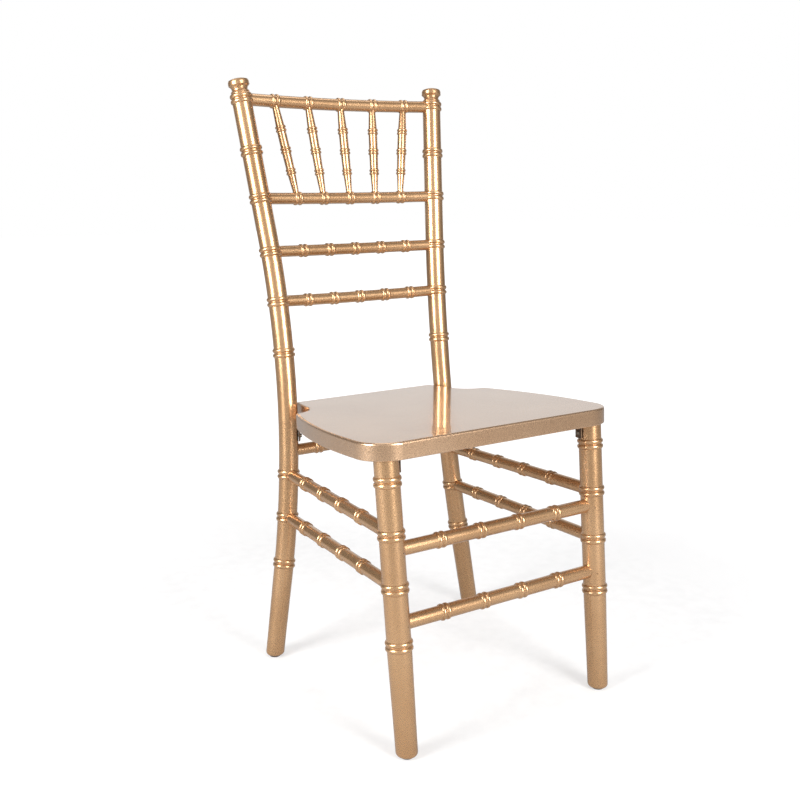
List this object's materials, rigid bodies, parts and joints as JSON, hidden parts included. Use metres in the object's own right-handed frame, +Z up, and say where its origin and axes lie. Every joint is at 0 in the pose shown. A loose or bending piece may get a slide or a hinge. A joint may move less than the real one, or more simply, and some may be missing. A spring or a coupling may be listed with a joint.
{
  "type": "chiavari chair",
  "caption": "Slim wooden dining chair with turned bamboo-like posts, legs, rails and stretchers, fanned spindles in a bowed back, and a thin shaped seat, finished in gold.",
  "frame": {"origin": "on the floor, under the middle of the chair's bounding box", "axes": "+Z up, the seat's front faces -Y, +X to the right seen from in front"},
  "size_m": [0.423, 0.5032, 0.9135],
  "materials": {
    "lacquered_frame": "satin gold lacquer over turned wood",
    "lacquered_seat": "glossy gold lacquer over a wooden board",
    "bracket_metal": "dark bronze paint",
    "fastener_steel": "plain steel",
    "glide_plastic": "dark moulded plastic"
  },
  "bodies": {
    "root": {"back_post_left": "lacquered_frame", "back_post_right": "lacquered_frame", "front_leg_left": "lacquered_frame", "front_leg_right": "lacquered_frame", "crest_rail": "lacquered_frame", "back_rail_upper": "lacquered_frame", "back_rail_middle": "lacquered_frame", "back_rail_lower": "lacquered_frame", "spindle_1": "lacquered_frame", "spindle_2": "lacquered_frame", "spindle_3": "lacquered_frame", "spindle_4": "lacquered_frame", "spindle_5": "lacquered_frame", "rear_seat_rail": "lacquered_frame", "side_stretcher_upper_left": "lacquered_frame", "side_stretcher_upper_right": "lacquered_frame", "side_stretcher_lower_left": "lacquered_frame", "side_stretcher_lower_right": "lacquered_frame", "front_stretcher_upper": "lacquered_frame", "front_stretcher_lower": "lacquered_frame", "seat_board": "lacquered_seat", "bracket_front_left": "bracket_metal", "bracket_front_right": "bracket_metal", "bracket_back_left": "bracket_metal", "bracket_back_right": "bracket_metal", "bracket_screws": "fastener_steel", "glide_nails": "fastener_steel", "joint_brads": "fastener_steel", "foot_glides": "glide_plastic"}
  },
  "joints": []
}
